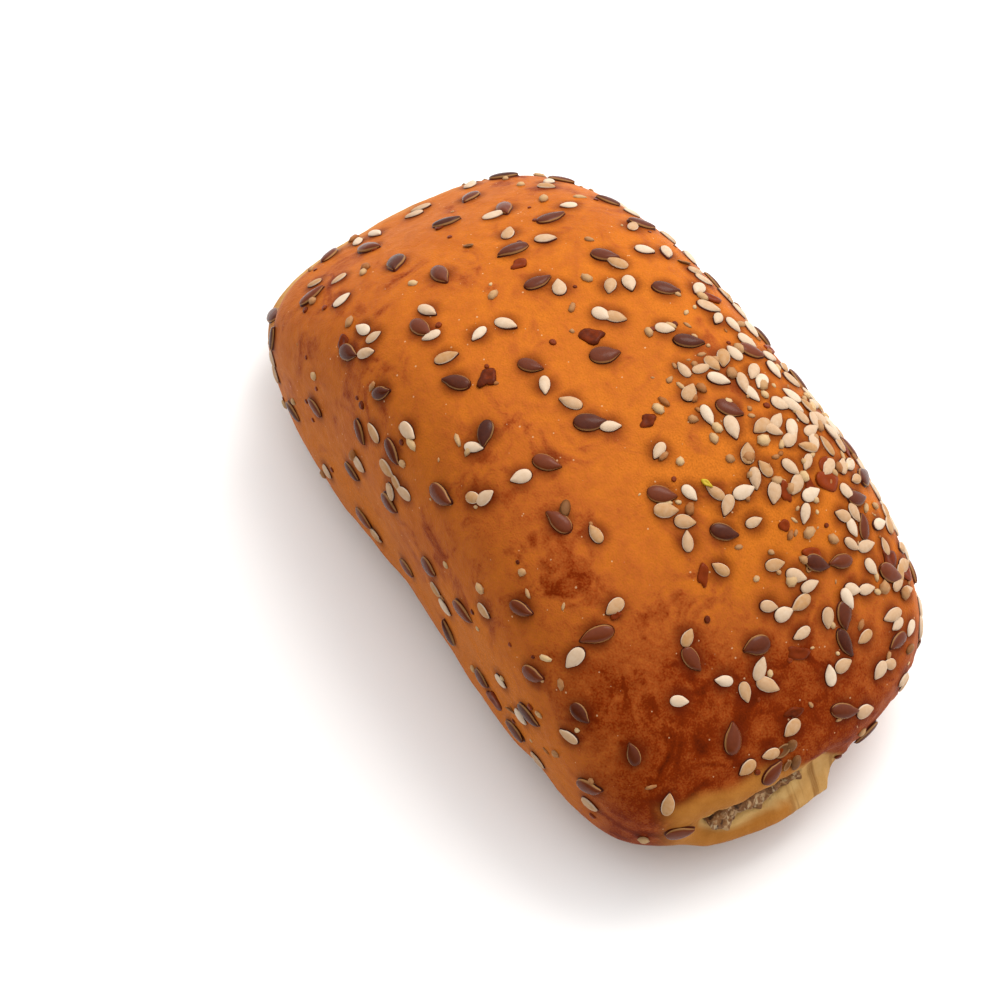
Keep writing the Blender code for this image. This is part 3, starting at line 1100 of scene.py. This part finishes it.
def glazed_crust():
    """Egg-glazed yeast dough: satin, mottled from gold to brown, and matt cream where it was torn."""
    material, tree, place = new_material("egg_glazed_crust")
    painted = {}
    for title in PAINTED:
        painted[title] = add(tree, "Attribute", output="Fac", attribute_name=title)
    # Soft blotches 7 mm wide, mottling 2 mm wide and a grain of pores 0.25 mm wide
    blotch = add(tree, "TexNoise", {
        "Vector": place, "Scale": 1 / 0.007, "Detail": 3.0, "Roughness": 0.62, "Distortion": 1.0,
    })
    blotch = add(tree, "MapRange", {"Value": blotch, "From Min": 0.52, "From Max": 0.72})
    mottle = add(tree, "TexNoise", {"Vector": place, "Scale": 1 / 0.002, "Detail": 3.0, "Roughness": 0.6})
    grain = add(tree, "TexNoise", {"Vector": place, "Scale": 1 / 0.00025, "Detail": 1.0})
    # The level holds how brown the crust baked, together with its painted sheen and painted shade
    level = painted["browned_sheen_shade"]
    for pattern, weight in ((blotch, 0.40), (mottle, 0.62), (grain, 0.54)):
        level = add(tree, "Math", {0: pattern, 1: weight, 2: level}, operation="MULTIPLY_ADD")
    level = add(tree, "Math", {0: level, 1: 0.62}, operation="SUBTRACT")
    # The crust darkens from gold through two browns to the darkest
    colour = "#b8651c"
    for start, full, tone in ((0.0, 0.45, "#9f501e"), (0.40, 0.75, "#742602"), (0.70, 1.1, "#4c1501")):
        share = add(tree, "MapRange", {"Value": level, "From Min": start, "From Max": full})
        colour = add(tree, "Mix", {0: share, 6: colour, 7: tone}, **COLOUR_MIX)
    # Browned juice round the seeds, darkened further with painted shade round each seed
    stain_and_shade = add(tree, "Math", {0: painted["stain_and_shade"], 1: 0.80}, operation="MULTIPLY")
    colour = add(tree, "Mix", {0: stain_and_shade, 6: colour, 7: "#551804"}, **COLOUR_MIX)
    # Pores of the skin show a little darker than the skin between them
    pores = add(tree, "MapRange", {
        "Value": grain, "From Min": 0.3, "From Max": 0.7, "To Min": 0.82, "To Max": 1.10,
    })
    colour = add(tree, "VectorMath", {0: colour, "Scale": pores}, operation="SCALE")
    # Specks of flour and dry glaze, and painted glints, up to 0.3 mm wide, at most one in each 1.1 mm
    cells = add(tree, "TexVoronoi", {"Vector": place, "Scale": 1 / 0.0011}, output="Distance")
    chosen = add(tree, "SeparateColor", {0: cells.node.outputs["Color"]}, output="Red")
    size = add(tree, "MapRange", {"Value": chosen, "From Min": 0.45, "To Max": 0.13})
    speck_and_glint = add(tree, "Math", {0: cells, 1: size}, operation="LESS_THAN")
    speck_and_glint = add(tree, "Math", {0: speck_and_glint, 1: 0.5}, operation="MULTIPLY")
    colour = add(tree, "Mix", {0: speck_and_glint, 6: colour, 7: "#cfae86"}, **COLOUR_MIX)
    # The low sides and the lips stay gold, and torn dough stays cream
    for title, pale, deep in (("golden", "#b27634", "#92581f"), ("crumb", "#cbab74", "#b38646")):
        bare = add(tree, "Mix", {0: mottle, 6: pale, 7: deep}, **COLOUR_MIX)
        colour = add(tree, "Mix", {0: painted[title], 6: colour, 7: bare}, **COLOUR_MIX)
    # Brown streaks nearly 1 mm wide run up and down where the dough was pulled
    upright = add(tree, "VectorMath", {0: place, 1: (0.0, 1.0, 0.05)}, operation="MULTIPLY")
    streaks = add(tree, "TexNoise", {"Vector": upright, "Scale": 1 / 0.0009, "Detail": 2.0})
    streaks = add(tree, "MapRange", {"Value": streaks, "From Min": 0.52, "From Max": 0.70, "To Max": 0.65})
    streaks = add(tree, "Math", {0: streaks, 1: painted["pulled"]}, operation="MULTIPLY")
    colour = add(tree, "Mix", {0: streaks, 6: colour, 7: "#6d3c12"}, **COLOUR_MIX)
    # The glaze is satin and the torn dough dry, with bumps 0.10 and 0.25 mm high. The crust mirrors only
    # faintly, so its IOR is matched down from about 1.45
    satin = add(tree, "MapRange", {"Value": mottle, "To Min": 0.38, "To Max": 0.58})
    roughness = add(tree, "Mix", {0: painted["crumb"], 2: satin, 3: 0.85}, data_type="FLOAT")
    surface = add(tree, "Bump", {"Height": grain, "Strength": 0.6, "Distance": 0.00010})
    surface = add(tree, "Bump", {"Height": mottle, "Strength": 0.6, "Distance": 0.00025, "Normal": surface})
    shader = add(tree, "BsdfPrincipled", {
        "Base Color": colour, "Roughness": roughness, "IOR": 1.09, "Normal": surface,
    })
    add(tree, "OutputMaterial", {"Surface": shader})
    return material


def crumbly_mash():
    """Boiled potato and liver from a mincer: matt brown, with pale crumbs, dark crumbs with painted shade in
    the pockets between them, and pale fibres.
    """
    material, tree, place = new_material("minced_potato_liver")
    # Liver in crumbs 2.2 mm wide, potato in crumbs 1.7 mm wide, and upright fibres in a pattern 0.7 mm wide
    liver = add(tree, "TexNoise", {"Vector": place, "Scale": 1 / 0.0022, "Detail": 5.0, "Roughness": 0.7})
    potato = add(tree, "TexNoise", {"Vector": place, "Scale": 1 / 0.0017, "Detail": 3.0, "Distortion": 1.0})
    upright = add(tree, "VectorMath", {0: place, 1: (1.0, 1.0, 0.12)}, operation="MULTIPLY")
    fibre = add(tree, "TexNoise", {"Vector": upright, "Scale": 1 / 0.0007, "Detail": 2.0, "Distortion": 0.6})
    # Brown liver, pale potato, dark crumbs with painted shade in the pockets, and pale fibres, one over the
    # other
    colour = "#4f2b10"
    for pattern, start, full, top, tone in (
        (liver, 0.35, 0.66, 1.0, "#8e6034"),
        (potato, 0.55, 0.64, 0.75, "#b8956a"),
        (potato, 0.43, 0.35, 0.85, "#2a1509"),
        (fibre, 0.58, 0.66, 0.6, "#c4ab84"),
    ):
        share = add(tree, "MapRange", {"Value": pattern, "From Min": start, "From Max": full, "To Max": top})
        colour = add(tree, "Mix", {0: share, 6: colour, 7: tone}, **COLOUR_MIX)
    surface = add(tree, "Bump", {"Height": liver, "Strength": 1.0, "Distance": 0.0005})
    shader = add(tree, "BsdfPrincipled", {
        "Base Color": colour, "Roughness": 0.8, "Specular IOR Level": 0.3, "Normal": surface,
    })
    add(tree, "OutputMaterial", {"Surface": shader})
    return material


def seed_hull(name, tone, other_tone, edge_tone, roughness, gloss):
    """A dry seed's hull: each seed a shade between two tones, mottled, with an edge of its own tone."""
    material, tree, place = new_material(name)
    # Mottling 0.6 mm wide
    mottle = add(tree, "TexNoise", {"Vector": place, "Scale": 1 / 0.0006, "Detail": 2.0})
    tint = add(tree, "Attribute", output="Fac", attribute_name="tint")
    shade = add(tree, "Math", {0: mottle, 1: 0.5, 2: tint}, operation="MULTIPLY_ADD")
    shade = add(tree, "MapRange", {"Value": shade, "From Min": 0.1, "From Max": 1.3})
    colour = add(tree, "Mix", {0: shade, 6: tone, 7: other_tone}, **COLOUR_MIX)
    edge = add(tree, "Attribute", output="Fac", attribute_name="edge")
    edge = add(tree, "MapRange", {"Value": edge, "From Min": 0.40, "From Max": 0.85, "To Max": 0.8})
    colour = add(tree, "Mix", {0: edge, 6: colour, 7: edge_tone}, **COLOUR_MIX)
    surface = add(tree, "Bump", {"Height": mottle, "Strength": 0.5, "Distance": 0.00006})
    shader = add(tree, "BsdfPrincipled", {
        "Base Color": colour, "Roughness": roughness, "Specular IOR Level": gloss, "Normal": surface,
    })
    add(tree, "OutputMaterial", {"Surface": shader})
    return material


def baked_glaze(name, pale, deep, gloss):
    """Egg glaze that gathered and baked hard: brown, smooth and shiny."""
    material, tree, place = new_material(name)
    # Clouds 0.9 mm wide
    cloud = add(tree, "TexNoise", {"Vector": place, "Scale": 1 / 0.0009, "Detail": 2.0})
    tint = add(tree, "Attribute", output="Fac", attribute_name="tint")
    shade = add(tree, "Math", {0: tint, 1: cloud}, operation="MULTIPLY")
    shade = add(tree, "MapRange", {"Value": shade, "From Max": 0.6})
    colour = add(tree, "Mix", {0: shade, 6: pale, 7: deep}, **COLOUR_MIX)
    shader = add(tree, "BsdfPrincipled", {
        "Base Color": colour, "Roughness": 0.30, "Specular IOR Level": gloss,
    })
    add(tree, "OutputMaterial", {"Surface": shader})
    return material


def all_finishes():
    """The material of each piece, by the piece's name."""
    return {
        "baked_dough": glazed_crust(),
        "potato_liver_filling": crumbly_mash(),
        # Flax hull is hard, dark and shiny, with a pale edge
        "flax_seeds": seed_hull("flax_hull", "#330f04", "#642b10", "#a57a48", roughness=0.26, gloss=0.14),
        # Sesame hull is pale and dull, and some seeds baked brown
        "sesame_seeds": seed_hull("sesame_hull", "#ccbaa4", "#a67a4c", "#d2c0a8", roughness=0.5, gloss=0.10),
        # Broken hulls and crumbs range wider, from pale to brown
        "seed_chips": seed_hull("broken_hull", "#c4a87c", "#8a4e1e", "#a68c66", roughness=0.6, gloss=0.1),
        # An empty husk is dry and brown, and paler where it split
        "split_husks": seed_hull("split_husk", "#4a2812", "#80542e", "#a67f54", roughness=0.5, gloss=0.1),
        # A scrap of yellow peel has a waxy shine
        "yellow_fleck": seed_hull("yellow_peel", "#a58c14", "#b89c22", "#c4ac44", roughness=0.4, gloss=0.2),
        # Glaze round the seeds is darkest, as baked glaze and painted shadow where each seed meets the
        # crust, and blisters and flakes a redder brown
        "seed_glaze_and_shadow": baked_glaze("glaze_and_shadow_ring", "#4a1806", "#2c0c03", gloss=0.05),
        "blisters": baked_glaze("blistered_glaze", "#742c06", "#4c1803", gloss=0.1),
        "glaze_flakes": baked_glaze("flaked_glaze", "#7c2e06", "#4a1803", gloss=0.06),
    }


def plain_floor():
    """A large sheet of matt white card, lying flat."""
    shape = bmesh.new()
    bmesh.ops.create_grid(shape, x_segments=1, y_segments=1, size=FLOOR_HALF_SIZE)
    floor = add_object("floor", shape)
    material, tree, place = new_material("matt_white_card")
    # Fibres of the card, 2 mm wide
    fibre = add(tree, "TexNoise", {"Vector": place, "Scale": 1 / 0.002})
    roughness = add(tree, "MapRange", {"Value": fibre, "To Min": 0.85, "To Max": 0.95})
    shader = add(tree, "BsdfPrincipled", {
        "Base Color": "#f1f1f1", "Roughness": roughness, "Specular IOR Level": 0.1,
    })
    add(tree, "OutputMaterial", {"Surface": shader})
    floor.data.materials.append(material)


def add_light():
    """A white room, bright above and beyond the roll and dim on the camera's side, and one softbox."""
    scene = bpy.context.scene
    world = bpy.data.worlds.new("white_room")
    world.use_nodes = True
    tree = world.node_tree
    tree.nodes.clear()
    heading = add(tree, "TexCoord", output="Generated")
    facing = add(tree, "VectorMath", {0: heading, 1: BRIGHT_SIDE}, output="Value", operation="DOT_PRODUCT")
    brightness = add(tree, "MapRange", {"Value": facing, "From Min": ROOM_EDGE, "To Max": ROOM_BRIGHTEST})
    glow = add(tree, "Background", {"Color": "#fdfcfb", "Strength": brightness})
    add(tree, "OutputWorld", {"Surface": glow})
    scene.world = world

    light = bpy.data.lights.new("key_softbox", "AREA")
    light.size = KEY_SIZE
    light.energy = KEY_POWER
    light.color = linear("#fffaf4")[:3]
    softbox = put_in_scene("key_softbox", light)
    softbox.location = KEY_PLACE
    softbox.rotation_euler = (ROLL_MIDDLE - KEY_PLACE).to_track_quat("-Z", "Y").to_euler()
    scene.view_settings.view_transform = "Standard"


def add_camera():
    """A long lens that looks down on the slit end, turned so that the roll stands right of the middle."""
    azimuth = math.radians(CAMERA_AZIMUTH)
    elevation = math.radians(CAMERA_ELEVATION)
    level = math.cos(elevation)
    back = Vector((math.sin(azimuth) * level, -math.cos(azimuth) * level, math.sin(elevation)))
    right = Vector((math.cos(azimuth), math.sin(azimuth), 0))
    axes = Matrix((right, back.cross(right), back)).transposed()
    turned = axes @ Matrix.Rotation(TURNED_LEFT, 3, "Y") @ Matrix.Rotation(-TURNED_DOWN, 3, "X")
    camera = put_in_scene("camera", bpy.data.cameras.new("camera"))
    camera.location = ROLL_MIDDLE + back * CAMERA_DISTANCE
    camera.rotation_euler = turned.to_euler()
    camera.data.lens = LENS
    camera.data.sensor_width = SENSOR
    camera.data.clip_start = CAMERA_NEAREST
    bpy.context.scene.camera = camera


def main():
    """Makes the roll's pieces, gives each its finish and its place in the frame, and sets up the scene."""
    dough = make_dough()
    filling = make_filling()
    laid = lay_seeds()
    paint_dough(dough, laid)
    on_crust = make_seeds(laid)
    draw = random.Random(DRESSING_SEED)
    for name, count, density, make_shape, sunk in (
        ("blisters", BLISTER_COUNT, flax_density, blister_shape, BLISTER_SUNK),
        ("glaze_flakes", FLAKE_COUNT, sesame_heart, flake_shape, FLAKE_SUNK),
        ("seed_chips", CHIP_COUNT, sesame_heart, chip_shape, CHIP_SUNK),
    ):
        on_crust.append(strew(draw, name, count, density, make_shape, sunk))
    on_crust.append(lay_husks(draw))
    on_crust.append(lay_fleck(draw))

    finishes = all_finishes()
    for piece in (dough, filling, *on_crust):
        piece.data.materials.append(finishes[piece.name])
    for piece in (dough, *on_crust):
        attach(piece, "root")
    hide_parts("dough")
    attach(filling, "root")
    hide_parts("filling")
    plain_floor()
    add_light()
    add_camera()


main()
